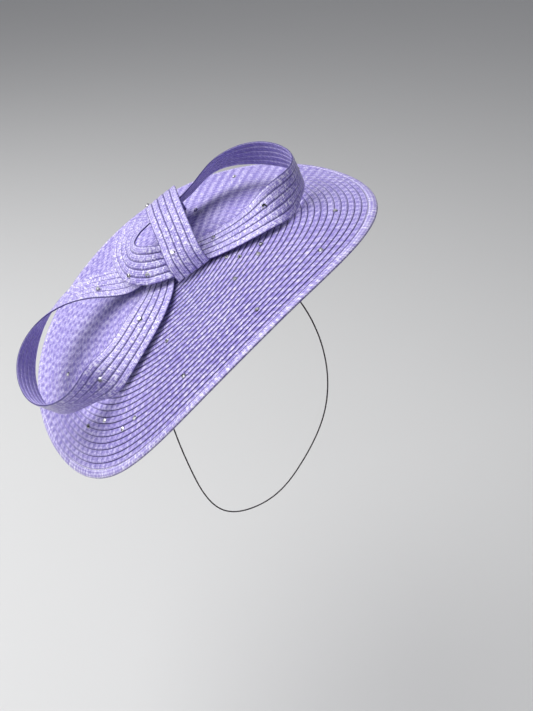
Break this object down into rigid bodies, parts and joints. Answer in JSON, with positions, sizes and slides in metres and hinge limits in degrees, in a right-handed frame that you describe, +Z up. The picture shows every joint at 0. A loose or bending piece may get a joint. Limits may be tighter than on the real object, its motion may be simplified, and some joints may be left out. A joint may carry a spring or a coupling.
{
  "type": "fascinator headpiece",
  "caption": "Tilted saucer fascinator of spiral-sewn lilac straw braid with a looped braid bow, scattered crystals and a hat elastic.",
  "frame": {"origin": "inside top of the head cap, where the hat rests on the head", "axes": "+Z up and -Y to the front as the hat is worn, +X towards the raised side of the brim"},
  "size_m": [0.2944, 0.3479, 0.3625],
  "materials": {
    "brim_braid": "sewn polypropylene straw braid, soft sheen",
    "brim_edge_row": "folded straw braid",
    "brim_wire": "cotton-wrapped millinery wire",
    "head_cap": "covered buckram",
    "cap_band": "ribbed petersham ribbon",
    "bow_left_loop": "straw braid ribbon",
    "bow_right_loop": "straw braid ribbon",
    "bow_curl": "straw braid ribbon",
    "bow_wrap": "straw braid ribbon",
    "bow_core": "rolled straw braid",
    "crystal": "clear faceted, foil backed",
    "elastic": "dark brown fabric-covered round elastic"
  },
  "bodies": {
    "root": {"brim_braid": "brim_braid", "brim_edge_row": "brim_edge_row", "brim_wire": "brim_wire", "head_cap": "head_cap", "cap_band": "cap_band", "bow_left_loop": "bow_left_loop", "bow_right_loop": "bow_right_loop", "bow_curl": "bow_curl", "bow_wrap": "bow_wrap", "bow_core": "bow_core", "brim_crystal_01": "crystal", "brim_crystal_02": "crystal", "brim_crystal_03": "crystal", "brim_crystal_04": "crystal", "brim_crystal_05": "crystal", "brim_crystal_06": "crystal", "brim_crystal_07": "crystal", "brim_crystal_08": "crystal", "brim_crystal_09": "crystal", "brim_crystal_10": "crystal", "brim_crystal_11": "crystal", "brim_crystal_12": "crystal", "brim_crystal_13": "crystal", "brim_crystal_14": "crystal", "brim_crystal_15": "crystal", "brim_crystal_16": "crystal", "brim_crystal_17": "crystal", "brim_crystal_18": "crystal", "bow_crystal_01": "crystal", "bow_crystal_02": "crystal", "bow_crystal_03": "crystal", "bow_crystal_04": "crystal", "bow_crystal_05": "crystal", "bow_crystal_06": "crystal", "bow_crystal_07": "crystal", "bow_crystal_08": "crystal", "bow_crystal_09": "crystal", "elastic_cord": "elastic", "elastic_knot_low": "elastic", "elastic_knot_raised": "elastic"}
  },
  "joints": []
}
